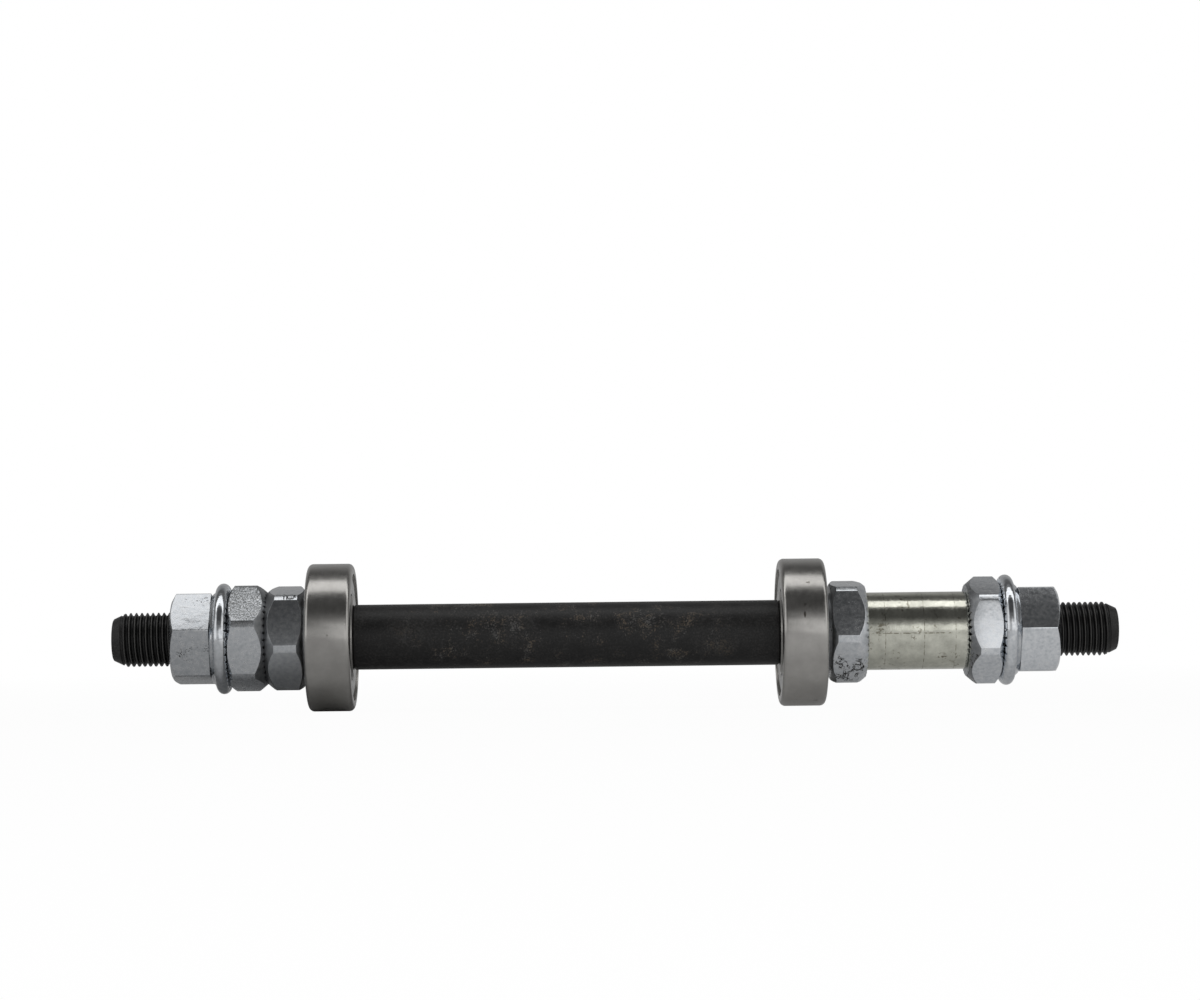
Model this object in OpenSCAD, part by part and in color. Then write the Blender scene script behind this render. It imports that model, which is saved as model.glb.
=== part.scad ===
// Rear hub axle of a bicycle: a threaded solid axle with two sealed ball bearings,
// locknuts, a spacer sleeve on the drive side and two axle nuts with captive washers.
// X runs along the axle towards the drive side, Z is up, and the origin is the axle's middle.

/* [Axle] */
// Length of the axle from end to end
axle_len = 177; // [172:0.1:186]
// Diameter of the plain shaft between the bearings
shaft_d = 11.45; // [10.8:0.05:13]
// Length of the plain shaft, from one bearing shoulder to the other
shaft_len = 74.9; // [60:0.1:80]
// Length from the left end of the axle to the left bearing shoulder
left_end_len = 42.4; // [40:0.1:48]
// Major diameter of the thread on both ends
thread_d = 9.525; // [8.8:0.005:9.7]
// Length of the tapered nose on each end
nose_len = 2.35; // [0.5:0.05:4]
// Diameter of the end face at the tip of each nose
nose_d = 7.5; // [6:0.1:8.5]
// Chamfer on the two shoulders of the shaft
shoulder_chamfer = 0.25; // [0.05:0.05:0.3]

/* [Bearings] */
// Outside diameter of each bearing
bearing_od = 26; // [25.5:0.1:30]
// Bore of each bearing
bearing_bore = 10; // [9.8:0.1:10.5]
// Width of each bearing
bearing_w = 8; // [8:0.1:10]
// Radius of the rounded outer corners of the outer ring
ring_corner_r = 0.95; // [0.3:0.05:1.1]
// Chamfer at the ends of the bearing's bore
bore_chamfer = 0.3; // [0.1:0.05:0.6]
// Diameter of a ball, as a share of the radial height between bore and outside
ball_share = 0.5953125; // [0.5:0.0015625:0.6]
// Number of balls in a bearing
ball_count = 7; // [5:1:7]
// Radius of the groove that the balls run in, as a share of the ball's diameter
groove_share = 0.52; // [0.505:0.005:0.54]
// Radial distance between the shoulders of the two rings, as a share of the same height
land_share = 0.4; // [0.325:0.0125:0.45]

/* [Cages] */
// Thickness of the strip that a cage half is pressed from
cage_t = 0.5; // [0.2:0.05:0.5]
// Radial gap between the cage strip and the shoulder of each ring
cage_side_gap = 0.55; // [0.3:0.05:0.7]
// Diameter of the rivets that join the two cage halves
rivet_d = 0.8; // [0.5:0.05:0.9]
// Diameter of a rivet's heads
rivet_head_d = 1.3; // [1:0.05:1.6]
// Height of a rivet's heads
rivet_head_h = 0.3; // [0.15:0.05:0.4]

/* [Shields] */
// Thickness of the sheet that a bearing shield is pressed from
shield_t = 0.3; // [0.2:0.02:0.34]
// Height of the raised band pressed into a shield
shield_step = 0.18; // [0.05:0.01:0.25]
// Depth of a shield's rim below the face of its bearing
shield_depth = 0.5; // [0.45:0.05:0.55]
// Radial depth of the recess in the outer ring that takes a shield
shield_recess = 0.6; // [0.4:0.05:0.8]
// Radial depth of the undercut that holds the shield's rim
shield_undercut = 0.3; // [0.1:0.05:0.35]

/* [Locknuts] */
// Width of a locknut across its flats
locknut_af = 17; // [16:0.1:18]
// Diameter across the rounded corners of a locknut
locknut_corner_d = 18.95; // [18.6:0.05:19.1]
// Length of the left inner locknut with its collar
left_inner_len = 7.2; // [6:0.1:9]
// Length of the left outer locknut
left_outer_len = 6.55; // [5.5:0.05:9]
// Length of the right inner locknut with its collar
right_inner_len = 7.2; // [6:0.1:9]
// Length of the right outer locknut
right_outer_len = 5.9; // [5:0.05:8]
// Diameter of the collar that bears on the inner ring
collar_d = 13.6; // [12:0.1:14.2]
// Height of the left inner locknut's collar
left_collar_h = 0.6; // [0.3:0.05:1.2]
// Height of the right inner locknut's collar
right_collar_h = 0.9; // [0.3:0.05:1.2]
// Diameter of a plain face of a locknut, inside its chamfer
plain_face_d = 16.6; // [15:0.1:16.8]
// Angle of the chamfer beside a plain face
plain_chamfer = 38; // [15:1:40]
// Diameter of a locknut's jam face, the one that it is tightened against, inside its chamfer
jam_face_d = 16.1; // [14.6:0.1:16.5]
// Angle of the chamfer beside a jam face
jam_chamfer = 50; // [25:1:51]
// Number of radial teeth on a toothed jam face
tooth_count = 40; // [24:1:48]
// Depth of the notches between the teeth
tooth_depth = 0.35; // [0.1:0.05:0.5]
// Width of the notches between the teeth at the face
tooth_notch_w = 0.62; // [0.3:0.02:0.7]

/* [Spacer] */
// Outside diameter of the spacer sleeve
spacer_d = 13.7; // [12.5:0.1:15]
// Length of the spacer sleeve
spacer_len = 17.8; // [12:0.1:22]
// Chamfer on the ends of the spacer sleeve
spacer_chamfer = 0.2; // [0.05:0.05:0.5]

/* [Axle nuts] */
// Width of an axle nut across its flats
nut_af = 14.7; // [14:0.1:15.2]
// Diameter across the corners of an axle nut, just rounded
nut_corner_d = 16.85; // [16.2:0.05:17]
// Height of an axle nut and its washer, from the washer's teeth to the nut's outer face
nut_stack_h = 10.1; // [8:0.05:12]
// Diameter of the nut's outer face inside its chamfer
nut_face_d = 13.8; // [12.5:0.1:14.2]
// Angle of the chamfer on the nut's outer face
nut_chamfer = 30; // [15:1:35]
// Thickness of the neck that carries the captive washer, as a share of the way from thread to rim
neck_share = 0.24; // [0.2:0.01:0.3]
// How far the flared foot reaches under the washer's hub, as a share of the hub's width
foot_share = 0.33; // [0.25:0.01:0.6]
// Height of the flared foot
foot_h = 0.8; // [0.5:0.05:1]

/* [Nut washers] */
// Outside diameter of a captive washer
washer_d = 19.5; // [18:0.1:21]
// Thickness of the washer at its rounded rim
washer_rim_t = 2.3; // [1.8:0.05:2.6]
// Thickness of the washer at its hub, where the nut presses
washer_hub_t = 3; // [2.8:0.05:3.6]
// Width of the flat between the washer's hub and its rounded rim
washer_shelf = 0.2; // [0.05:0.05:0.4]
// Width of the washer's hub at its top, as a share of its width at its foot
hub_top_share = 0.74; // [0.5:0.01:0.95]

/* [Fits] */
// Radial clearance between the thread's major diameter and what is screwed on it
thread_fit = 0.05; // [0.02:0.01:0.1]
// Radial clearance between an inner ring and its seat on the axle
seat_fit = 0.01; // [0.005:0.005:0.02]
// Clearance between the balls and the bottoms of their grooves
race_clearance = 0.02; // [0.01:0.005:0.05]
// Clearance between a ball and its cage pocket
pocket_clearance = 0.1; // [0.05:0.01:0.15]
// Least clearance between the cage and a shield
cage_shield_gap = 0.1; // [0.05:0.01:0.15]
// Radial clearance between a shield and the inner ring
shield_gap = 0.3; // [0.15:0.05:0.4]
// Clearance between a captive washer and its nut
washer_gap = 0.1; // [0.05:0.01:0.15]
// Gap between a captive washer and its locknut when the nut is done up
done_up_gap = 0.05; // [0.02:0.01:0.1]
// Clearance between pieces that are pressed or riveted together
press_gap = 0.01; // [0.005:0.005:0.02]

/* [Turned positions] */
// Angle of a corner of the left axle nut below the front side
left_nut_turn = -10.9; // [-30:0.1:30]
// Angle of a corner of the left outer locknut below the front side
left_outer_turn = -15.9; // [-30:0.1:30]
// Angle of a corner of the left inner locknut below the front side
left_inner_turn = 11.5; // [-30:0.1:30]
// Angle of a corner of the right inner locknut below the front side
right_inner_turn = 7.5; // [-30:0.1:30]
// Angle of a corner of the right outer locknut below the front side
right_outer_turn = 23.2; // [-30:0.1:30]
// Angle of a corner of the right axle nut below the front side
right_nut_turn = -1.7; // [-30:0.1:30]

/* [Hidden] */
$fn = 96;
BALLS = [1 : ball_count];

// Places along the axle, each on the face of the piece that it rests on
left_end_x = -axle_len / 2;
right_end_x = axle_len / 2;
left_shoulder_x = left_end_x + left_end_len;
right_shoulder_x = left_shoulder_x + shaft_len;
left_bearing_x = left_shoulder_x - bearing_w / 2;
right_bearing_x = right_shoulder_x + bearing_w / 2;
left_inner_x = left_shoulder_x - bearing_w;
left_outer_x = left_inner_x - left_inner_len;
left_washer_x = left_outer_x - left_outer_len - done_up_gap;
right_inner_x = right_shoulder_x + bearing_w;
spacer_x = right_inner_x + right_inner_len;
right_outer_x = spacer_x + spacer_len;
right_washer_x = right_outer_x + right_outer_len + done_up_gap;

// Sizes of a bearing that follow from its driving ones
pitch_r = (bearing_od + bearing_bore) / 4;
section_h = (bearing_od - bearing_bore) / 2;
ball_d = ball_share * section_h;
ball_r = ball_d / 2;
land_gap = land_share * section_h;
cage_w = land_gap - 2 * cage_side_gap;
groove_r = groove_share * ball_d;
outer_groove_r = pitch_r + ball_r + race_clearance - groove_r;
inner_groove_r = pitch_r - ball_r - race_clearance + groove_r;
outer_land_r = pitch_r + land_gap / 2;
inner_land_r = pitch_r - land_gap / 2;
shield_top = bearing_w / 2 - shield_depth;
shield_seat = shield_top - shield_t;
recess_r = outer_land_r + shield_recess;
undercut_r = recess_r + shield_undercut;
shield_r = undercut_r - press_gap;
shield_bore_r = inner_land_r + shield_gap;
seat_d = bearing_bore - 2 * seat_fit;

// Sizes of the nuts and their washers that follow from their driving ones
nut_bore_d = thread_d + 2 * thread_fit;
neck_r = nut_bore_d / 2 + neck_share * (washer_d - nut_bore_d) / 2;
washer_rim_r = washer_rim_t / 2;
washer_rim_x = washer_d / 2 - washer_rim_r;
washer_bore_r = neck_r + washer_gap;
hub_foot_r = washer_rim_x - washer_shelf;
hub_top_r = washer_bore_r + hub_top_share * (hub_foot_r - washer_bore_r);
foot_r = neck_r + foot_share * (hub_foot_r - neck_r);
// Chamfer that starts the thread at each mouth of a nut
mouth_chamfer = 0.4;
// A little extra, so that a cut passes right through a face
cut = 0.5;

zinc_color = [0.78, 0.8, 0.82];
steel_color = [0.6, 0.59, 0.57];
black_color = [0.13, 0.13, 0.13];
spacer_color = [0.68, 0.7, 0.64];

// Stands a piece that is drawn along +Z on the axle, pointing to the left end
module on_left(x, turn = 0) {
    translate([x, 0, 0]) rotate([0, -90, 0]) rotate([0, 0, -90 - turn]) children();
}

// Stands a piece that is drawn along +Z on the axle, pointing to the right end
module on_right(x, turn = 0) {
    translate([x, 0, 0]) rotate([0, 90, 0]) rotate([0, 0, turn - 90]) children();
}

module ring(r_in, r_out, z_low, z_high) {
    rotate_extrude() translate([r_in, z_low]) square([r_out - r_in, z_high - z_low]);
}

// The axle is turned from one bar: threaded ends, ground bearing seats and a thicker plain shaft
module axle() {
    seat_left = left_shoulder_x - bearing_w;
    seat_right = right_shoulder_x + bearing_w;
    color(black_color) rotate([0, 90, 0]) rotate_extrude() polygon([
        [0, left_end_x],
        [nose_d / 2, left_end_x],
        [thread_d / 2, left_end_x + nose_len],
        [thread_d / 2, seat_left],
        [seat_d / 2, seat_left],
        [seat_d / 2, left_shoulder_x],
        [shaft_d / 2 - shoulder_chamfer, left_shoulder_x],
        [shaft_d / 2, left_shoulder_x + shoulder_chamfer],
        [shaft_d / 2, right_shoulder_x - shoulder_chamfer],
        [shaft_d / 2 - shoulder_chamfer, right_shoulder_x],
        [seat_d / 2, right_shoulder_x],
        [seat_d / 2, seat_right],
        [thread_d / 2, seat_right],
        [thread_d / 2, right_end_x - nose_len],
        [nose_d / 2, right_end_x],
        [0, right_end_x]
    ]);
}

// One half of the outer ring's section, which is mirrored about the ball's plane
module outer_ring_half_section() {
    half = bearing_w / 2;
    difference() {
        polygon([
            [outer_land_r, 0],
            [bearing_od / 2, 0],
            [bearing_od / 2, half],
            [recess_r, half],
            [recess_r, shield_top + press_gap],
            [undercut_r, shield_top + press_gap],
            [undercut_r, shield_seat],
            [outer_land_r, shield_seat]
        ]);
        translate([bearing_od / 2 - ring_corner_r, half - ring_corner_r]) difference() {
            square(ring_corner_r + cut);
            circle(r = ring_corner_r);
        }
    }
}

// The outer ring, with its ball groove, its shield recesses and its rounded corners
module outer_ring() {
    color(steel_color) difference() {
        rotate_extrude() union() {
            outer_ring_half_section();
            mirror([0, 1]) outer_ring_half_section();
        }
        rotate_extrude() translate([outer_groove_r, 0]) circle(r = groove_r);
    }
}

// The inner ring, with its ball groove and the low shoulders that the shields close on
module inner_ring() {
    half = bearing_w / 2;
    bore_r = bearing_bore / 2;
    color(steel_color) difference() {
        rotate_extrude() polygon([
            [bore_r + bore_chamfer, -half],
            [inner_land_r - bore_chamfer, -half],
            [inner_land_r, -half + bore_chamfer],
            [inner_land_r, half - bore_chamfer],
            [inner_land_r - bore_chamfer, half],
            [bore_r + bore_chamfer, half],
            [bore_r, half - bore_chamfer],
            [bore_r, -half + bore_chamfer]
        ]);
        rotate_extrude() translate([inner_groove_r, 0]) circle(r = groove_r);
    }
}

// Copies a shape to each ball's place on the pitch circle
module at_balls() {
    for (i = BALLS) rotate([0, 0, i * 360 / ball_count]) translate([pitch_r, 0, 0]) children();
}

// Copies a shape to each rivet's place, midway between two balls
module at_rivets() {
    rotate([0, 0, 180 / ball_count]) at_balls() children();
}

module ball(i) {
    color(steel_color) rotate([0, 0, i * 360 / ball_count]) translate([pitch_r, 0, 0]) sphere(r = ball_r);
}

// One pressed half of the ribbon cage: a flat ring with a round pocket over each ball
module cage_half() {
    pocket_r = ball_r + pocket_clearance;
    color(steel_color) difference() {
        intersection() {
            ring(pitch_r - cage_w / 2, pitch_r + cage_w / 2, 0, shield_seat - cage_shield_gap);
            union() {
                cylinder(r = pitch_r + cage_w, h = cage_t);
                at_balls() sphere(r = pocket_r + cage_t);
            }
        }
        at_balls() sphere(r = pocket_r);
        at_rivets() translate([0, 0, -cut]) cylinder(d = rivet_d + 2 * press_gap, h = cage_t + 2 * cut);
    }
}

// The rivets that hold the two cage halves together, each with two flat heads
module cage_rivets() {
    color(steel_color) at_rivets() {
        cylinder(d = rivet_d, h = 2 * cage_t + cut, center = true);
        for (up = [0, 1]) mirror([0, 0, up]) translate([0, 0, cage_t])
            cylinder(d1 = rivet_head_d, d2 = rivet_d, h = rivet_head_h);
    }
}

// A shield: a pressed washer with a raised band, whose rim snaps into the outer ring's undercut
module shield() {
    band_in = shield_bore_r + 2 * shield_t;
    band_out = outer_land_r - 2 * shield_t;
    slope = shield_step;
    color(steel_color) rotate_extrude() polygon([
        [shield_bore_r, shield_seat],
        [band_in - slope, shield_seat],
        [band_in, shield_seat + shield_step],
        [band_out, shield_seat + shield_step],
        [band_out + slope, shield_seat],
        [shield_r, shield_seat],
        [shield_r, shield_top],
        [band_out + slope, shield_top],
        [band_out, shield_top + shield_step],
        [band_in, shield_top + shield_step],
        [band_in - slope, shield_top],
        [shield_bore_r, shield_top]
    ]);
}

// Everything of a hexagon that its corner diameter and two end chamfers leave.
// Each end is given as [diameter of its face, angle of its chamfer].
module hexagon(af, corner_d, h, low_end, high_end) {
    corner_r = corner_d / 2;
    low_h = (corner_r - low_end[0] / 2) * tan(low_end[1]);
    high_h = (corner_r - high_end[0] / 2) * tan(high_end[1]);
    intersection() {
        cylinder(r = af / sqrt(3), h = h, $fn = 6);
        rotate_extrude() polygon([
            [0, 0],
            [low_end[0] / 2, 0],
            [corner_r, low_h],
            [corner_r, h - high_h],
            [high_end[0] / 2, h],
            [0, h]
        ]);
    }
}

// The hole of a nut or sleeve on the thread, with a chamfer at each mouth
module threaded_bore(z_low, z_high) {
    r = nut_bore_d / 2;
    rotate_extrude() polygon([
        [0, z_low - cut],
        [r + mouth_chamfer + cut, z_low - cut],
        [r, z_low + mouth_chamfer],
        [r, z_high - mouth_chamfer],
        [r + mouth_chamfer + cut, z_high + cut],
        [0, z_high + cut]
    ]);
}

// The notches between the radial teeth of a face at z = 0 that looks down
module tooth_notches(r_in, r_out) {
    for (i = [1 : tooth_count]) rotate([0, 0, i * 360 / tooth_count]) translate([r_in, 0, 0])
        rotate([90, 0, 90]) linear_extrude(r_out - r_in) polygon([
            [-tooth_notch_w, -tooth_depth],
            [tooth_notch_w, -tooth_depth],
            [0, tooth_depth]
        ]);
}

// An inner locknut: a collar that bears on the inner ring, then the hexagon.
// Its jam face, on the far side, is plain or toothed.
module inner_locknut(length, collar_h, toothed) {
    color(zinc_color) difference() {
        union() {
            cylinder(d = collar_d, h = collar_h + cut);
            translate([0, 0, collar_h]) hexagon(locknut_af, locknut_corner_d, length - collar_h,
                [plain_face_d, plain_chamfer], [jam_face_d, jam_chamfer]);
        }
        threaded_bore(0, length);
        if (toothed) translate([0, 0, length]) mirror([0, 0, 1])
            tooth_notches(nut_bore_d / 2 + mouth_chamfer, locknut_corner_d / 2);
    }
}

// An outer locknut: its near face is a toothed jam face that bites what it is tightened against,
// and its far face is plain and seats the frame
module outer_locknut(length) {
    color(zinc_color) difference() {
        hexagon(locknut_af, locknut_corner_d, length,
            [jam_face_d, jam_chamfer], [plain_face_d, plain_chamfer]);
        threaded_bore(0, length);
        tooth_notches(nut_bore_d / 2 + mouth_chamfer, locknut_corner_d / 2);
    }
}

// The plain sleeve that sets the inner locknut off from the outer one
module spacer_sleeve() {
    r = spacer_d / 2;
    color(spacer_color) difference() {
        rotate_extrude() polygon([
            [0, 0],
            [r - spacer_chamfer, 0],
            [r, spacer_chamfer],
            [r, spacer_len - spacer_chamfer],
            [r - spacer_chamfer, spacer_len],
            [0, spacer_len]
        ]);
        threaded_bore(0, spacer_len);
    }
}

// The captive washer: a rounded rim with teeth underneath and a hub that the nut presses on
module nut_washer() {
    foot_room_r = foot_r + washer_gap;
    foot_room_h = washer_gap + foot_h + washer_gap;
    color(zinc_color) difference() {
        rotate_extrude() union() {
            translate([washer_rim_x, washer_rim_r]) circle(r = washer_rim_r);
            polygon([
                [foot_room_r, 0],
                [washer_rim_x, 0],
                [washer_rim_x, washer_rim_t],
                [hub_foot_r, washer_rim_t],
                [hub_top_r, washer_hub_t],
                [washer_bore_r, washer_hub_t],
                [washer_bore_r, foot_room_h],
                [foot_room_r, foot_room_h]
            ]);
        }
        tooth_notches(foot_room_r - cut, washer_d / 2);
    }
}

// The axle nut: a hexagon with a neck and a flared foot that keep the washer on it
module axle_nut() {
    hex_z = washer_hub_t + washer_gap;
    color(zinc_color) difference() {
        union() {
            translate([0, 0, hex_z]) hexagon(nut_af, nut_corner_d, nut_stack_h - hex_z,
                [nut_corner_d, 0], [nut_face_d, nut_chamfer]);
            translate([0, 0, washer_gap]) cylinder(r = neck_r, h = hex_z);
            translate([0, 0, washer_gap]) cylinder(r = foot_r, h = foot_h);
        }
        threaded_bore(washer_gap, nut_stack_h);
    }
}

axle();
on_right(spacer_x) spacer_sleeve();

on_left(left_bearing_x) outer_ring();  // left_outer_ring
on_left(left_bearing_x) inner_ring();  // left_inner_ring
on_left(left_bearing_x) shield();  // left_outboard_shield
on_left(left_bearing_x) mirror([0, 0, 1]) shield();  // left_inboard_shield
on_left(left_bearing_x) cage_half();  // left_cage_outboard_half
on_left(left_bearing_x) mirror([0, 0, 1]) cage_half();  // left_cage_inboard_half
on_left(left_bearing_x) cage_rivets();  // left_cage_rivets
for (i = BALLS) on_left(left_bearing_x) ball(i);
on_left(left_inner_x, left_inner_turn) inner_locknut(left_inner_len, left_collar_h, false);  // left_inner_locknut
on_left(left_outer_x, left_outer_turn) outer_locknut(left_outer_len);  // left_outer_locknut
on_left(left_washer_x) nut_washer();  // left_nut_washer
on_left(left_washer_x, left_nut_turn) axle_nut();  // left_axle_nut

on_right(right_bearing_x) outer_ring();  // right_outer_ring
on_right(right_bearing_x) inner_ring();  // right_inner_ring
on_right(right_bearing_x) shield();  // right_outboard_shield
on_right(right_bearing_x) mirror([0, 0, 1]) shield();  // right_inboard_shield
on_right(right_bearing_x) cage_half();  // right_cage_outboard_half
on_right(right_bearing_x) mirror([0, 0, 1]) cage_half();  // right_cage_inboard_half
on_right(right_bearing_x) cage_rivets();  // right_cage_rivets
for (i = BALLS) on_right(right_bearing_x) ball(i);
on_right(right_inner_x, right_inner_turn) inner_locknut(right_inner_len, right_collar_h, true);  // right_inner_locknut
on_right(right_outer_x, right_outer_turn) outer_locknut(right_outer_len);  // right_outer_locknut
on_right(right_washer_x) nut_washer();  // right_nut_washer
on_right(right_washer_x, right_nut_turn) axle_nut();  // right_axle_nut
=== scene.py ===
from math import cos, pi, radians, sin

import bpy
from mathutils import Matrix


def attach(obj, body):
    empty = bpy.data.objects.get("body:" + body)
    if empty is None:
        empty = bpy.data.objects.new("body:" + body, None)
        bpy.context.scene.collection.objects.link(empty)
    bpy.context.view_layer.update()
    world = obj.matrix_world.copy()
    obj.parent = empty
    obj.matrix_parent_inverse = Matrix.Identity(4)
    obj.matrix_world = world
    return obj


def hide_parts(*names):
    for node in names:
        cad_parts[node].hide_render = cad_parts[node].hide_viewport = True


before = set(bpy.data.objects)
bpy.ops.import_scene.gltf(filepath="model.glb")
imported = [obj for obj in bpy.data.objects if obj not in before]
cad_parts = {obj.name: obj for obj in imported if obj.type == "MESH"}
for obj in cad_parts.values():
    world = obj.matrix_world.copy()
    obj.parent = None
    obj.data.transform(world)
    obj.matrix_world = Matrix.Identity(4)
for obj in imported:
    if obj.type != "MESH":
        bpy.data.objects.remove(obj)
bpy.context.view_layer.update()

# ---------------------------------------------------------------- Axle
# The axle is one steel bar, turned to a plain shaft with a ground bearing seat at each end of
# it, threaded from there outwards, and blacked. The thread is a right-hand one of 26 turns to
# the inch, rolled, with its crests a little blunt, and it runs out on the tapered noses.

THREAD_PITCH = 0.0254 / 26
CREST_R = 0.00475
ROOT_R = 0.00423
LEFT_TIP, LEFT_SEAT, LEFT_SHOULDER = -0.0885, -0.0541, -0.0461
RIGHT_SHOULDER, RIGHT_SEAT, RIGHT_TIP = 0.0288, 0.0368, 0.0885
SEAT_R = 0.00499
SHAFT_R = 0.005725


def pick(*pieces):
    """Selects these pieces and nothing else, the last one active."""
    bpy.ops.object.select_all(action="DESELECT")
    for piece in pieces:
        piece.select_set(True)
    bpy.context.view_layer.objects.active = pieces[-1]


def walked_outline(name, points):
    """A chain of edges through points of (place along the axle, distance from it)."""
    bpy.ops.object.select_all(action="DESELECT")
    bpy.ops.mesh.primitive_plane_add(size=0.001)
    piece = bpy.context.object
    piece.name = name
    bpy.ops.object.mode_set(mode="EDIT")
    bpy.ops.mesh.select_all(action="SELECT")
    bpy.ops.mesh.merge(type="CENTER")
    bpy.ops.transform.translate(value=(points[0][0], points[0][1], 0))
    for before, after in zip(points, points[1:]):
        step = (after[0] - before[0], after[1] - before[1], 0)
        bpy.ops.mesh.extrude_region_move(TRANSFORM_OT_translate={"value": step})
    bpy.ops.object.mode_set(mode="OBJECT")
    return piece


def apply_modifiers(piece):
    pick(piece)
    for modifier in list(piece.modifiers):
        bpy.ops.object.modifier_apply(modifier=modifier.name)


def turned(name, points, segments=96):
    """A solid of revolution about the axle from its outline, as off a lathe."""
    piece = walked_outline(name, points)
    bpy.ops.object.mode_set(mode="EDIT")
    bpy.ops.mesh.select_all(action="SELECT")
    bpy.ops.mesh.spin(steps=segments, angle=2 * pi, center=(0, 0, 0), axis=(1, 0, 0))
    bpy.ops.mesh.select_all(action="SELECT")
    bpy.ops.mesh.remove_doubles(threshold=1e-6)
    bpy.ops.mesh.normals_make_consistent(inside=False)
    bpy.ops.object.mode_set(mode="OBJECT")
    return piece


def cut_off(piece, x, side):
    """Saws a piece off square at x, and closes the cut. What lies on that side falls away."""
    pick(piece)
    bpy.ops.object.mode_set(mode="EDIT")
    bpy.ops.mesh.select_all(action="SELECT")
    bpy.ops.mesh.bisect(plane_co=(x, 0, 0), plane_no=(side, 0, 0), use_fill=True, clear_outer=True,
                        threshold=1e-7)
    bpy.ops.object.mode_set(mode="OBJECT")


def threaded_rod(name, start, end, segments=48):
    """A length of thread: one tooth of it, wound along the axle, and sawn off at both ends."""
    flank = 0.3 * THREAD_PITCH
    crest = 0.12 * THREAD_PITCH
    low = start - 2 * THREAD_PITCH
    rod = walked_outline(name, [
        (low, ROOT_R),
        (low + flank, CREST_R),
        (low + flank + crest, CREST_R),
        (low + 2 * flank + crest, ROOT_R),
        (low + THREAD_PITCH, ROOT_R),
    ])
    screw = rod.modifiers.new("Thread", "SCREW")
    screw.axis = "X"
    screw.angle = 2 * pi
    screw.screw_offset = THREAD_PITCH
    screw.iterations = int((end - start) / THREAD_PITCH) + 4
    screw.steps = screw.render_steps = segments
    screw.use_merge_vertices = True
    screw.merge_threshold = 1e-6
    apply_modifiers(rod)
    bpy.ops.object.mode_set(mode="EDIT")
    bpy.ops.mesh.select_all(action="SELECT")
    bpy.ops.mesh.remove_doubles(threshold=1e-6)
    bpy.ops.mesh.normals_make_consistent(inside=False)
    bpy.ops.object.mode_set(mode="OBJECT")
    cut_off(rod, start, -1)
    cut_off(rod, end, 1)
    pick(rod)
    bpy.ops.object.mode_set(mode="EDIT")
    bpy.ops.mesh.select_all(action="SELECT")
    bpy.ops.mesh.normals_make_consistent(inside=False)
    bpy.ops.object.mode_set(mode="OBJECT")
    return rod


def with_boolean(piece, other, operation):
    boolean = piece.modifiers.new(operation.title(), "BOOLEAN")
    boolean.operation = operation
    boolean.object = other
    boolean.solver = "EXACT"
    apply_modifiers(piece)
    bpy.data.objects.remove(other)


bar = turned("axle_bar", [
    (LEFT_SEAT, 0),
    (LEFT_SEAT, SEAT_R - 0.0001),
    (LEFT_SEAT + 0.0001, SEAT_R),
    (LEFT_SHOULDER, SEAT_R),
    (LEFT_SHOULDER, SHAFT_R - 0.00025),
    (LEFT_SHOULDER + 0.00025, SHAFT_R),
    (RIGHT_SHOULDER - 0.00025, SHAFT_R),
    (RIGHT_SHOULDER, SHAFT_R - 0.00025),
    (RIGHT_SHOULDER, SEAT_R),
    (RIGHT_SEAT - 0.0001, SEAT_R),
    (RIGHT_SEAT, SEAT_R - 0.0001),
    (RIGHT_SEAT, 0),
])
noses = turned("axle_noses", [
    (LEFT_TIP, 0),
    (LEFT_TIP, 0.0035),
    (LEFT_TIP + 0.00012, 0.0037),
    (LEFT_TIP + 0.00235, 0.00475),
    (LEFT_TIP + 0.004, 0.0062),
    (RIGHT_TIP - 0.004, 0.0062),
    (RIGHT_TIP - 0.00235, 0.00475),
    (RIGHT_TIP - 0.00012, 0.0037),
    (RIGHT_TIP, 0.0035),
    (RIGHT_TIP, 0),
])
with_boolean(bar, threaded_rod("left_thread", LEFT_TIP - 0.0005, LEFT_SEAT + 0.0002), "UNION")
with_boolean(bar, threaded_rod("right_thread", RIGHT_SEAT - 0.0002, RIGHT_TIP + 0.0005), "UNION")
with_boolean(bar, noses, "INTERSECT")
pick(bar)
bpy.ops.object.mode_set(mode="EDIT")
bpy.ops.mesh.select_all(action="SELECT")
bpy.ops.mesh.remove_doubles(threshold=1e-6)
bpy.ops.object.mode_set(mode="OBJECT")
bpy.ops.object.shade_smooth_by_angle(angle=radians(24))
bar.name = "threaded_axle"


def shader_group(name, inputs, outputs):
    """An empty node group for shaders, with its sockets given as (name, kind, default)."""
    group = bpy.data.node_groups.new(name, "ShaderNodeTree")
    for socket, kind, default in inputs:
        made = group.interface.new_socket(name=socket, in_out="INPUT", socket_type=kind)
        if default is not None:
            made.default_value = default
    for socket, kind in outputs:
        group.interface.new_socket(name=socket, in_out="OUTPUT", socket_type=kind)
    group.nodes.new("NodeGroupInput").location = (-900, 0)
    group.nodes.new("NodeGroupOutput").location = (600, 0)
    return group


def node(tree, kind, at, values=None, **settings):
    """Adds one node to a tree, with its settings, and wires or sets the inputs in values."""
    made = tree.nodes.new(kind)
    made.location = at
    for key, value in settings.items():
        setattr(made, key, value)
    for key, value in (values or {}).items():
        socket = made.inputs[key]
        if isinstance(value, bpy.types.NodeSocket):
            tree.links.new(value, socket)
        else:
            socket.default_value = value
    return made


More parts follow.
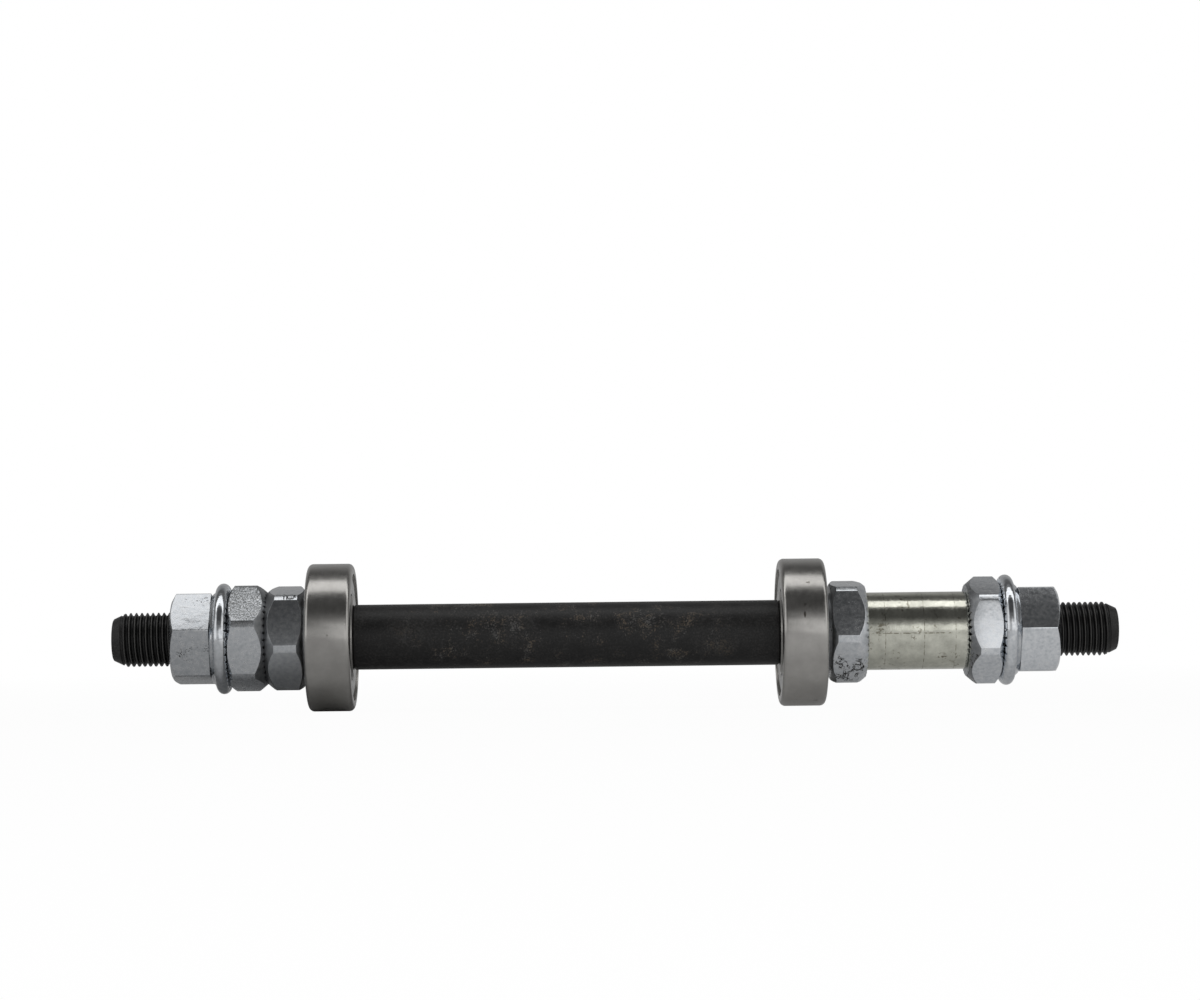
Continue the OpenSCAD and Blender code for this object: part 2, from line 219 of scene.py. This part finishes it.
def ramp(tree, at, value, stops):
    """A colour ramp from stops of (place, colour or grey level)."""
    made = node(tree, "ShaderNodeValToRGB", at, {"Fac": value})
    elements = made.color_ramp.elements
    while len(elements) < len(stops):
        elements.new(0.5)
    for element, (place, colour) in zip(elements, stops):
        element.position = place
        if isinstance(colour, (int, float)):
            colour = (colour, colour, colour)
        element.color = (*colour, 1)
    return made.outputs["Color"]


# Flecks gives small worn or stained spots gathered in patches, where a surface has been rubbed.
flecks = shader_group("Flecks", [
    ("Vector", "NodeSocketVector", None),
    ("Fleck size", "NodeSocketFloat", 3000.0),
    ("Patch size", "NodeSocketFloat", 120.0),
    ("Amount", "NodeSocketFloat", 0.5),
], [("Mask", "NodeSocketFloat")])
group_in, group_out = flecks.nodes[0].outputs, flecks.nodes[1].inputs
small = node(flecks, "ShaderNodeTexNoise", (-650, 150),
             {"Vector": group_in["Vector"], "Scale": group_in["Fleck size"], "Detail": 3.0,
              "Roughness": 0.65})
patches = node(flecks, "ShaderNodeTexNoise", (-650, -150),
               {"Vector": group_in["Vector"], "Scale": group_in["Patch size"], "Detail": 4.0,
                "Roughness": 0.6})
together = node(flecks, "ShaderNodeMath", (-420, 0), {0: small.outputs["Fac"],
                                                      1: patches.outputs["Fac"]},
                operation="MULTIPLY")
level = node(flecks, "ShaderNodeMath", (-420, -200), {0: group_in["Amount"], 1: -0.2, 2: 0.46},
             operation="MULTIPLY_ADD")
above = node(flecks, "ShaderNodeMath", (-220, 0), {0: together.outputs[0], 1: level.outputs[0]},
             operation="SUBTRACT")
sharp = node(flecks, "ShaderNodeMath", (0, 0), {0: above.outputs[0], 1: 14.0},
             operation="MULTIPLY", use_clamp=True)
flecks.links.new(sharp.outputs[0], group_out["Mask"])


def new_finish(name):
    """A material with its Principled shader, and the tree and Object coordinates to build on."""
    material = bpy.data.materials.new(name)
    material.use_nodes = True
    tree = material.node_tree
    shader = tree.nodes["Principled BSDF"]
    place = node(tree, "ShaderNodeTexCoord", (-1400, 0)).outputs["Object"]
    return material, tree, shader, place


def give_finish(piece, material):
    piece.data.materials.clear()
    piece.data.materials.append(material)


# Round a spot is 1 at one place on a piece and falls to 0 at the given reach from it.
round_spot = shader_group("Round a spot", [
    ("Vector", "NodeSocketVector", None),
    ("Spot", "NodeSocketVector", None),
    ("Reach", "NodeSocketVector", None),
], [("Mask", "NodeSocketFloat")])
group_in, group_out = round_spot.nodes[0].outputs, round_spot.nodes[1].inputs
away = node(round_spot, "ShaderNodeVectorMath", (-650, 0),
            {0: group_in["Vector"], 1: group_in["Spot"]}, operation="SUBTRACT")
away = node(round_spot, "ShaderNodeVectorMath", (-450, 0),
            {0: away.outputs["Vector"], 1: group_in["Reach"]}, operation="DIVIDE")
away = node(round_spot, "ShaderNodeVectorMath", (-250, 0), {0: away.outputs["Vector"]},
            operation="LENGTH")
near = node(round_spot, "ShaderNodeMapRange", (0, 0), {"Value": away.outputs["Value"], "To Min": 1.0,
                                                       "To Max": 0.0})
round_spot.links.new(near.outputs["Result"], group_out["Mask"])


def noise(tree, at, vector, scale, detail=3.0, roughness=0.6, distortion=0.0):
    made = node(tree, "ShaderNodeTexNoise", at, {"Vector": vector, "Scale": scale, "Detail": detail,
                                                 "Roughness": roughness, "Distortion": distortion})
    return made.outputs["Fac"]


def between(tree, at, value, low, high, to_low=0.0, to_high=1.0):
    """Maps low..high of a value onto to_low..to_high, and holds it beyond them."""
    made = node(tree, "ShaderNodeMapRange", at, {"Value": value, "From Min": low, "From Max": high,
                                                 "To Min": to_low, "To Max": to_high})
    return made.outputs["Result"]


def maths(tree, at, operation, *values):
    made = node(tree, "ShaderNodeMath", at, dict(enumerate(values)), operation=operation)
    return made.outputs[0]


def blend_colours(tree, at, share, under, over):
    made = node(tree, "ShaderNodeMix", at, data_type="RGBA")
    for socket, value in (("Factor_Float", share), ("A_Color", under), ("B_Color", over)):
        socket = next(s for s in made.inputs if s.identifier == socket)
        if isinstance(value, bpy.types.NodeSocket):
            tree.links.new(value, socket)
        else:
            socket.default_value = (*value, 1)
    return next(s for s in made.outputs if s.identifier == "Result_Color")


def fleck_mask(tree, at, vector, fleck_size, patch_size, amount):
    made = node(tree, "ShaderNodeGroup", at, node_tree=flecks)
    tree.links.new(vector, made.inputs["Vector"])
    made.inputs["Fleck size"].default_value = fleck_size
    made.inputs["Patch size"].default_value = patch_size
    made.inputs["Amount"].default_value = amount
    return made.outputs["Mask"]


def spot_mask(tree, at, vector, spot, reach):
    made = node(tree, "ShaderNodeGroup", at, node_tree=round_spot)
    tree.links.new(vector, made.inputs["Vector"])
    made.inputs["Spot"].default_value = spot
    made.inputs["Reach"].default_value = reach
    return made.outputs["Mask"]


black, tree, shader, place = new_finish("Black oxide")
shader.inputs["Specular IOR Level"].default_value = 0.35
apart = node(tree, "ShaderNodeSeparateXYZ", (-1200, 700), {"Vector": place}).outputs
across = node(tree, "ShaderNodeVectorMath", (-1200, 500), {0: place, 1: (0, 1, 1)},
              operation="MULTIPLY")
across = node(tree, "ShaderNodeVectorMath", (-1050, 500), {0: across.outputs["Vector"]},
              operation="LENGTH").outputs["Value"]
from_middle = maths(tree, (-1050, 700), "ABSOLUTE", apart["X"])
cloud = noise(tree, (-1100, 300), place, 260.0, 5.0, 0.65)
grain = noise(tree, (-1100, 150), place, 3000.0)
uneven = maths(tree, (-900, 250), "MULTIPLY_ADD", grain, 0.6, maths(tree, (-900, 400), "MULTIPLY",
                                                                    cloud, 0.4))
plain = ramp(tree, (-700, 300), uneven, [(0.38, (0.010, 0.010, 0.010)), (0.5, (0.018, 0.0175, 0.0175)),
                                         (0.62, (0.040, 0.039, 0.038))])
brown = noise(tree, (-1100, -250), place, 500.0, 2.0, 0.5)
wear_colour = ramp(tree, (-850, -250), brown, [(0.42, (0.120, 0.117, 0.113)),
                                               (0.6, (0.125, 0.100, 0.074))])
rubbed = fleck_mask(tree, (-1100, 0), place, 3300.0, 230.0, 0.80)
rubbed = maths(tree, (-850, 0), "MULTIPLY", rubbed, between(tree, (-850, 150), apart["X"], -0.040,
                                                            -0.030))
rubbed = maths(tree, (-700, 0), "MULTIPLY", rubbed, between(tree, (-850, 100), apart["X"], 0.022,
                                                            0.016))
plain = blend_colours(tree, (-500, 150), rubbed, plain, wear_colour)
# Painted shade and highlight: the thread is coloured near black in its grooves and lighter grey on its
# crests, by distance from the axis.
thread_depth = between(tree, (-850, 550), across, ROOT_R, CREST_R)
thread_shade_and_highlight = ramp(tree, (-700, 550), thread_depth,
                     [(0.35, (0.002, 0.002, 0.002)), (0.75, (0.006, 0.006, 0.006)),
                      (0.95, (0.085, 0.083, 0.080))])
on_thread = maths(tree, (-700, 750), "MULTIPLY", between(tree, (-850, 750), across, 0.00488, 0.0048),
                  between(tree, (-850, 900), from_middle, 0.0865, 0.0861))
coat = blend_colours(tree, (-300, 300), on_thread, plain, thread_shade_and_highlight)
tree.links.new(coat, shader.inputs["Base Color"])
rough = between(tree, (-500, -150), cloud, 0.3, 0.7, 0.38, 0.52)
tree.links.new(rough, shader.inputs["Roughness"])
bump = node(tree, "ShaderNodeBump", (-300, -400), {"Height": grain, "Strength": 0.35,
                                                   "Distance": 0.00004})
tree.links.new(bump.outputs["Normal"], shader.inputs["Normal"])

give_finish(bar, black)
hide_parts("axle")
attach(bar, "axle")

# ---------------------------------------------------------------- Bearings: the parts inside
# Each bearing has a ground inner ring pressed against the shaft's shoulder, seven polished balls
# and a cage of two pressed steel halves riveted together. They are the CAD solids themselves,
# because the shields hide all but the edge of the inner ring.

# Ring lines gives the fine marks that turning or grinding leaves round an axis along X.
ring_lines = shader_group("Ring lines", [
    ("Vector", "NodeSocketVector", None),
    ("Along", "NodeSocketFloat", 6000.0),
    ("Around", "NodeSocketFloat", 60.0),
], [("Height", "NodeSocketFloat")])
group_in, group_out = ring_lines.nodes[0].outputs, ring_lines.nodes[1].inputs
stretch = node(ring_lines, "ShaderNodeCombineXYZ", (-650, -150),
               {"X": group_in["Along"], "Y": group_in["Around"], "Z": group_in["Around"]})
pulled = node(ring_lines, "ShaderNodeVectorMath", (-420, 0),
              {0: group_in["Vector"], 1: stretch.outputs["Vector"]}, operation="MULTIPLY")
lines = node(ring_lines, "ShaderNodeTexNoise", (-200, 0),
             {"Vector": pulled.outputs["Vector"], "Scale": 1.0, "Detail": 3.0, "Roughness": 0.6})
ring_lines.links.new(lines.outputs["Fac"], group_out["Height"])


def steel_finish(name, dark, light, low, high, bump_depth, along=6000.0, around=60.0, blotch=160.0,
                 streaks=0.5, stains=0.2, stain=(0.12, 0.11, 0.095), marks=()):
    """Bare steel: cloudy between two colours, satin between two roughnesses, with fine ring lines
    mixed into a plain grain, small stains, and marks given as (spot, reach, least depth)."""
    material, tree, shader, place = new_finish(name)
    shader.inputs["Metallic"].default_value = 1.0
    colour = ramp(tree, (-850, 300), noise(tree, (-1100, 300), place, blotch, 6.0, 0.68),
                  [(0.32, dark), (0.68, light)])
    soiled = fleck_mask(tree, (-1100, 100), place, 1100.0, 190.0, stains)
    for i, (spot, reach, least) in enumerate(marks):
        mark = between(tree, (-900, 500 + 150 * i),
                       spot_mask(tree, (-1100, 500 + 150 * i), place, spot, reach), 0.1, 0.6)
        broken = between(tree, (-900, 650 + 150 * i), noise(tree, (-1100, 650 + 150 * i), place, 1300.0),
                         0.46, 0.56, least, 1.0)
        soiled = maths(tree, (-500, 500 + 150 * i), "MAXIMUM", soiled,
                       maths(tree, (-700, 500 + 150 * i), "MULTIPLY", mark, broken))
    colour = blend_colours(tree, (-550, 300), soiled, colour, stain)
    tree.links.new(colour, shader.inputs["Base Color"])
    rings = node(tree, "ShaderNodeGroup", (-1100, -100), node_tree=ring_lines)
    tree.links.new(place, rings.inputs["Vector"])
    rings.inputs["Along"].default_value = along
    rings.inputs["Around"].default_value = around
    peel = noise(tree, (-1100, -300), place, 800.0, 4.0, 0.6)
    relief = node(tree, "ShaderNodeMix", (-850, -200), {"Factor": streaks, "A": peel,
                                                        "B": rings.outputs["Height"]})
    relief = relief.outputs["Result"]
    tree.links.new(between(tree, (-600, -50), relief, 0.35, 0.65, low, high),
                   shader.inputs["Roughness"])
    bump = node(tree, "ShaderNodeBump", (-300, -300), {"Height": relief, "Strength": 0.4,
                                                       "Distance": bump_depth})
    tree.links.new(bump.outputs["Normal"], shader.inputs["Normal"])
    return material


NICK = ((0.0326, -0.0126, 0.0031), (0.0003, 0.0009, 0.0008), 1.0)
ground = steel_finish("Ground bearing steel", (0.37, 0.36, 0.345), (0.47, 0.46, 0.44), 0.18, 0.27,
                      0.00003, along=3000.0, around=500.0, streaks=0.4, stains=0.28, marks=[NICK])
polished = steel_finish("Polished ball steel", (0.62, 0.62, 0.62), (0.7, 0.7, 0.7), 0.05, 0.1,
                        0.000001, stains=0.0)
pressed = steel_finish("Pressed cage steel", (0.42, 0.40, 0.37), (0.55, 0.53, 0.49), 0.3, 0.45,
                       0.00001)
for side in ("left", "right"):
    give_finish(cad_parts[f"{side}_inner_ring"], ground)
    for i in range(1, 8):
        give_finish(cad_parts[f"{side}_ball_{i}"], polished)
    for part in ("cage_outboard_half", "cage_inboard_half", "cage_rivets"):
        give_finish(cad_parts[f"{side}_{part}"], pressed)

# ---------------------------------------------------------------- Bearings: outer rings
# The outer ring of each bearing is through-hardened steel, ground all over to a satin finish
# with lightly tumbled corners. It runs on the balls and would be pressed into the hub shell.


def dressed_copy(node_name, name, edge, segments=2, angle=25):
    """A copy of a CAD node with its triangles merged, flat faces joined and edges rounded."""
    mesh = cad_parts[node_name].data.copy()
    piece = bpy.data.objects.new(name, mesh)
    bpy.context.scene.collection.objects.link(piece)
    pick(piece)
    bpy.ops.object.mode_set(mode="EDIT")
    bpy.ops.mesh.select_all(action="SELECT")
    bpy.ops.mesh.remove_doubles(threshold=1e-7)
    bpy.ops.mesh.dissolve_limited(angle_limit=radians(0.5))
    bpy.ops.object.mode_set(mode="OBJECT")
    if edge:
        bevel = piece.modifiers.new("Broken edges", "BEVEL")
        bevel.width = edge
        bevel.segments = segments
        bevel.limit_method = "ANGLE"
        bevel.angle_limit = radians(angle)
        bevel.use_clamp_overlap = True
        bevel.miter_outer = "MITER_ARC"
        apply_modifiers(piece)
    pick(piece)
    bpy.ops.object.shade_smooth_by_angle(angle=radians(angle))
    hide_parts(node_name)
    return piece


for side in ("left", "right"):
    ring = dressed_copy(f"{side}_outer_ring", f"{side}_bearing_outer_ring", 0.00006)
    give_finish(ring, ground)
    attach(ring, f"{side}_outer_race")

# ---------------------------------------------------------------- Bearings: shields
# A shield is a thin pressed steel washer with a raised band, rolled into the outer ring. It
# keeps the grease in and turns with the ring, a little clear of the inner one.

shield_steel = steel_finish("Shield steel", (0.52, 0.52, 0.51), (0.66, 0.66, 0.65), 0.26, 0.42,
                            0.00002, along=300.0, around=900.0, stains=0.45)
for side in ("left", "right"):
    for where in ("outboard", "inboard"):
        shield = dressed_copy(f"{side}_{where}_shield", f"{side}_{where}_pressed_shield", 0.00004)
        give_finish(shield, shield_steel)
        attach(shield, f"{side}_outer_race")

# ---------------------------------------------------------------- Locknuts
# Four hexagon nuts, cut from bar and zinc plated, hold the bearings on the axle: an inner one
# bears on each inner ring, and an outer one is jammed against it or against the spacer. Their
# conical faces have small radial teeth that bite.


def zinc_finish(name, shade, low=0.16, high=0.28, peel=0.00006, grime=0.12, dents=(), dull=None,
                speck=1500.0):
    """Zinc plate: bluish silver and finely mottled, with grime in small spots. Dents are places,
    given as (spot, reach), where the plate is scuffed and dark, and dull is a place worn matt."""
    material, tree, shader, place = new_finish(name)
    shader.inputs["Metallic"].default_value = 1.0
    crystals = noise(tree, (-1100, 350), place, 1500.0, 4.0, 0.6)
    waves = noise(tree, (-1100, 200), place, 650.0, 2.0, 0.5)
    colours = [(0.33, (0.52, 0.545, 0.57)), (0.5, (0.62, 0.64, 0.665)), (0.68, (0.70, 0.715, 0.73))]
    colour = ramp(tree, (-850, 350), crystals,
                  [(stop, tuple(c * shade for c in rgb)) for stop, rgb in colours])
    soiled = fleck_mask(tree, (-1100, 50), place, speck, 230.0, grime)
    for i, (spot, reach) in enumerate(dents):
        scuffs = noise(tree, (-1300, 550 + 300 * i), place, 520.0, 3.0, 0.6, 1.6)
        scuffs = maths(tree, (-1100, 550 + 300 * i), "ABSOLUTE",
                       maths(tree, (-1200, 700 + 300 * i), "SUBTRACT", scuffs, 0.52))
        clusters = noise(tree, (-1300, 850 + 300 * i), place, 480.0, 2.0, 0.5)
        scuffs = maths(tree, (-900, 550 + 300 * i), "MULTIPLY",
                       between(tree, (-1000, 550 + 300 * i), scuffs, 0.05, 0.025),
                       between(tree, (-1000, 700 + 300 * i), clusters, 0.44, 0.5))
        scuffs = maths(tree, (-800, 550 + 300 * i), "MULTIPLY", scuffs,
                       between(tree, (-1000, 850 + 300 * i),
                               spot_mask(tree, (-1100, 700 + 300 * i), place, spot, reach), 0.0, 0.25))
        soiled = maths(tree, (-700, 550 + 300 * i), "MAXIMUM", soiled, scuffs)
    colour = blend_colours(tree, (-550, 250), soiled, colour, (0.05, 0.049, 0.047))
    tree.links.new(colour, shader.inputs["Base Color"])
    rough = maths(tree, (-400, -50), "MAXIMUM", between(tree, (-600, -50), crystals, 0.3, 0.7, low, high),
                  between(tree, (-600, -200), soiled, 0.0, 1.0, low, 0.5))
    tree.links.new(rough, shader.inputs["Roughness"])
    if dull:
        matt = between(tree, (-900, -500), spot_mask(tree, (-1100, -500), place, *dull), 0.0, 0.3)
        mottled = between(tree, (-900, -650), noise(tree, (-1100, -650), place, 4800.0, 2.0, 0.5),
                          0.37, 0.58)
        mottled = maths(tree, (-700, -600), "MULTIPLY", matt, mottled)
        colour = blend_colours(tree, (-300, 350), mottled, colour, (0.16, 0.165, 0.165))
        tree.links.new(colour, shader.inputs["Base Color"])
        rough = maths(tree, (-200, -50), "MAXIMUM", rough,
                      between(tree, (-500, -500), matt, 0.0, 1.0, low, 0.36))
        tree.links.new(rough, shader.inputs["Roughness"])
    relief = maths(tree, (-700, -300), "MULTIPLY_ADD", crystals, 0.35, waves)
    relief = maths(tree, (-500, -300), "MULTIPLY_ADD", soiled, -0.5, relief)
    bump = node(tree, "ShaderNodeBump", (-300, -300), {"Height": relief, "Strength": 0.5,
                                                       "Distance": peel})
    tree.links.new(bump.outputs["Normal"], shader.inputs["Normal"])
    return material


def finish_cone(nut, out, material):
    """Gives the cone on one side of a nut, which faces out (1 or -1 along the axle), its own finish."""
    nut.data.materials.append(material)
    pick(nut)
    bpy.ops.object.mode_set(mode="EDIT")
    bpy.ops.mesh.select_all(action="DESELECT")
    bpy.ops.object.mode_set(mode="OBJECT")
    for face in nut.data.polygons:
        face.select = 0.3 < face.normal.x * out < 0.9
    nut.active_material_index = len(nut.data.materials) - 1
    bpy.ops.object.mode_set(mode="EDIT")
    bpy.ops.object.material_slot_assign()
    bpy.ops.object.mode_set(mode="OBJECT")


DENTS = ((0.0402, -0.0062, -0.0066), (0.0044, 0.0034, 0.0034))
RUBBED_CORNER = ((-0.0577, -0.0058, 0.0073), (0.0040, 0.0012, 0.0012))
MATT_FACE = ((-0.0643, -0.0056, 0.0064), (0.0070, 0.0060, 0.0060))
# The number after each name scales that nut's zinc colour. The right outer locknut is painted lighter and
# the left inner one darker: painted light, following the light that is brighter on the right.
LOCKNUT_FINISHES = {
    "left_outer": zinc_finish("Zinc plate, dulled", 1.0, 0.2, 0.3, 0.0001, 0.3, dull=MATT_FACE),
    "left_inner": zinc_finish("Zinc plate, plain, painted darker", 0.92, 0.13, 0.2, 0.00003, 0.1, dents=[RUBBED_CORNER]),
    "right_inner": zinc_finish("Zinc plate, dented", 1.0, grime=0.3, dents=[DENTS]),
    "right_outer": zinc_finish("Zinc plate, painted lighter", 1.18),
}
# Painted shade: the cones that face a neighbouring nut, the spacer or a bearing get the zinc colour
# scaled down to 0.42, with grime specks over it.
painted_shade_cone = zinc_finish("Zinc plate, painted shade and grime", 0.42, 0.3, 0.42, 0.0001, 0.7)
pale_cone = zinc_finish("Zinc plate, pale", 1.08, 0.3, 0.4, 0.0001, 0.35)
CONES = {
    "left_outer": [(1, painted_shade_cone)],
    "left_inner": [(-1, painted_shade_cone), (1, painted_shade_cone)],
    "right_inner": [(1, pale_cone), (-1, painted_shade_cone)],
    "right_outer": [(-1, painted_shade_cone)],
}
for which, finish in LOCKNUT_FINISHES.items():
    nut = dressed_copy(f"{which}_locknut", f"{which}_lock_nut", 0.00012, angle=18)
    give_finish(nut, finish)
    for out, cone_finish in CONES[which]:
        finish_cone(nut, out, cone_finish)
    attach(nut, "axle")

# ---------------------------------------------------------------- Spacer sleeve
# A length of steel tube, faced and turned, with a yellowish zinc plate. It slides over the
# thread between the two locknuts of the drive side and is clamped by them.

SCUFFS = [((0.0580, -0.0056, -0.0040), (0.0026, 0.0020, 0.0003), 0.0),
          ((0.0571, -0.0053, -0.0046), (0.0018, 0.0020, 0.0003), 0.0)]
SEAM = ((0.0530, -0.0068, -0.0004), (0.0120, 0.0020, 0.00016), 0.0)
TURNING_MARKS = [((x, 0, 0), (0.00009, 1, 1), 0.1) for x in (0.0471, 0.0539, 0.0594)]
spacer_plate = steel_finish("Yellowish zinc plate", (0.47, 0.47, 0.412), (0.73, 0.73, 0.645), 0.08,
                            0.18, 0.0001, along=1800.0, around=220.0, blotch=330.0, streaks=0.35,
                            stains=0.66,
                            stain=(0.24, 0.225, 0.175),
                            marks=[*SCUFFS, SEAM, *TURNING_MARKS])
sleeve = dressed_copy("spacer_sleeve", "turned_spacer_sleeve", 0.00006)
give_finish(sleeve, spacer_plate)
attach(sleeve, "axle")

# ---------------------------------------------------------------- Captive washers
# Each axle nut carries a thick steel washer, with a fully rounded rim, teeth underneath that
# grip the frame, and a low hub that the nut presses on. It is held by the foot of the nut.

shiny = zinc_finish("Zinc plate, shiny", 1.05, 0.05, 0.12, 0.00008, 0.2)
for side in ("left", "right"):
    washer = dressed_copy(f"{side}_nut_washer", f"{side}_captive_washer", 0.0001)
    give_finish(washer, shiny)
    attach(washer, f"{side}_washer")

# ---------------------------------------------------------------- Axle nuts
# The axle nuts are plain hexagons, chamfered on the outside, with a neck and a flared foot that
# are spun over inside the washer. They clamp the frame ends against the outer locknuts.

# The number after each name scales that nut's zinc colour. The right nut is painted lighter and the left
# one darker: painted light, following the light that is brighter on the right.
NUT_FINISHES = {
    "left": zinc_finish("Zinc plate, frosted, painted darker", 0.9, 0.2, 0.3, 0.00012, 0.5, speck=4200.0),
    "right": zinc_finish("Zinc plate, clear, painted lighter", 1.18, 0.12, 0.2, 0.00004, 0.14),
}
for side, finish in NUT_FINISHES.items():
    nut = dressed_copy(f"{side}_axle_nut", f"{side}_hexagon_axle_nut", 0.00026, segments=3)
    give_finish(nut, finish)
    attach(nut, f"{side}_nut")

# ---------------------------------------------------------------- Floor
# A pale plain sheet just under the bearings. The camera sees it nearly white, with a trace of
# the part's shadow near it. The metal sees a painted reflection on it: a share of white glow, more
# of it in front of the part and to the right, over the sheet's own shade.

bpy.ops.object.select_all(action="DESELECT")
bpy.ops.mesh.primitive_plane_add(size=8, location=(0, 0, -0.01302))
floor = bpy.context.object
floor.name = "floor"
paper, tree, shader, place = new_finish("Pale paper")
shader.inputs["Base Color"].default_value = (0.62, 0.62, 0.62, 1)
shader.inputs["Roughness"].default_value = 0.9
shader.inputs["Specular IOR Level"].default_value = 0.2
apart = node(tree, "ShaderNodeSeparateXYZ", (-1200, 500), {"Vector": place}).outputs
reach = node(tree, "ShaderNodeVectorMath", (-1200, 300), {0: place}, operation="LENGTH")
path = node(tree, "ShaderNodeLightPath", (-900, 0))
# Painted reflection: only the metal sees this white glow on the sheet, up to about 0.46 of it, more in
# front of the part and to the right.
painted_glow_in_metal = maths(tree, (-650, 0), "MAXIMUM", path.outputs["Is Glossy Ray"],
                 path.outputs["Is Transmission Ray"])
painted_glow_in_metal = maths(tree, (-450, 0), "MULTIPLY", painted_glow_in_metal,
                 maths(tree, (-450, 200), "MULTIPLY_ADD",
                       between(tree, (-900, 500), apart["X"], -0.05, 0.06), 0.25,
                       between(tree, (-900, 700), apart["Y"], -0.005, -0.035, 0.0, 0.21)))
in_view = maths(tree, (-450, 400), "MULTIPLY", path.outputs["Is Camera Ray"],
                between(tree, (-650, 400), reach.outputs["Value"], 0.1, 0.5, 0.97, 1.0))
share = node(tree, "ShaderNodeMath", (-250, 350), {0: in_view, 1: painted_glow_in_metal}, operation="MAXIMUM")
white = node(tree, "ShaderNodeEmission", (-250, 150), {"Color": (1, 1, 1, 1), "Strength": 1.0})
mixed = node(tree, "ShaderNodeMixShader", (50, 200), {"Fac": share.outputs[0],
                                                      1: shader.outputs["BSDF"],
                                                      2: white.outputs["Emission"]})
tree.links.new(mixed.outputs["Shader"], tree.nodes["Material Output"].inputs["Surface"])
give_finish(floor, paper)

# ---------------------------------------------------------------- Studio
# A long soft light hangs over the part, along it. The room is pale, apart from a dark stretch
# between the light and the camera, which gives the upper faces of the metal their contrast.

bpy.ops.object.light_add(type="AREA", location=(0, -0.033, 0.9))
softbox = bpy.context.object
softbox.name = "overhead_softbox"
softbox.data.shape = "RECTANGLE"
softbox.data.size = 2.2
softbox.data.size_y = 0.38
softbox.data.energy = 3.0

world = bpy.data.worlds.new("Pale room")
bpy.context.scene.world = world
world.use_nodes = True
tree = world.node_tree
tree.nodes.clear()
direction = node(tree, "ShaderNodeTexCoord", (-1200, 0)).outputs["Generated"]
parts = node(tree, "ShaderNodeSeparateXYZ", (-1000, 0), {"Vector": direction})
towards = node(tree, "ShaderNodeMath", (-800, -100), {0: parts.outputs["Y"], 1: -1.0},
               operation="MULTIPLY")
turn = node(tree, "ShaderNodeMath", (-600, 0), {0: parts.outputs["Z"], 1: towards.outputs[0]},
            operation="ARCTAN2")
turn = node(tree, "ShaderNodeMapRange", (-400, 0), {"Value": turn.outputs[0], "From Min": -pi,
                                                    "From Max": pi})
def round_room(at, stops):
    """A grey level against the direction round the axle, in degrees: 0 in front, 90 above."""
    return ramp(tree, at, turn.outputs["Result"], [((a + 180) / 360, v) for a, v in stops])


glow = round_room((-200, 0), [(-180, 0.35), (-20, 0.5), (-2, 0.85), (4, 1.0), (14, 1.0), (22, 0.42),
                              (31, 0.17), (40, 0.075), (66, 0.075), (76, 0.3), (103, 0.25), (112, 0.12),
                              (124, 0.13), (135, 0.26), (150, 0.36), (180, 0.38)])
in_front = round_room((-200, -250), [(-30, 0), (-15, 1), (22, 1), (32, 0)])
at_sides = round_room((-200, -500), [(-20, 0), (0, 1), (60, 1), (95, 0)])
less_left = between(tree, (50, -400), parts.outputs["X"], -0.08, 0.07, 0.45, 0.0)
less_left = maths(tree, (250, -400), "MULTIPLY", less_left, in_front)
glow = blend_colours(tree, (450, -200), less_left, glow, (0, 0, 0))
sideways = maths(tree, (50, -600), "ABSOLUTE", parts.outputs["X"])
sideways = maths(tree, (250, -600), "MULTIPLY", between(tree, (150, -700), sideways, 0.5, 0.8),
                 at_sides)
glow = blend_colours(tree, (650, -300), sideways, glow, (0.95, 0.95, 0.95))
path = node(tree, "ShaderNodeLightPath", (650, 300))
view = blend_colours(tree, (850, 100), path.outputs["Is Camera Ray"], glow, (1, 1, 1))
sky = node(tree, "ShaderNodeBackground", (1050, 0), {"Color": view, "Strength": 1.0})
node(tree, "ShaderNodeOutputWorld", (1250, 0), {"Surface": sky.outputs["Background"]})

# ---------------------------------------------------------------- Camera
# A long lens level with the axle, as the photograph was taken, with the part low in the frame.

bpy.ops.object.camera_add(location=(-0.0077, -0.562, 0.00175),
                          rotation=(radians(92.243), radians(0.673), radians(-0.506)))
camera = bpy.context.object
camera.data.sensor_width = 36
camera.data.lens = 95.36
camera.data.clip_start = 0.01
bpy.context.scene.camera = camera
bpy.context.scene.view_settings.view_transform = "Standard"
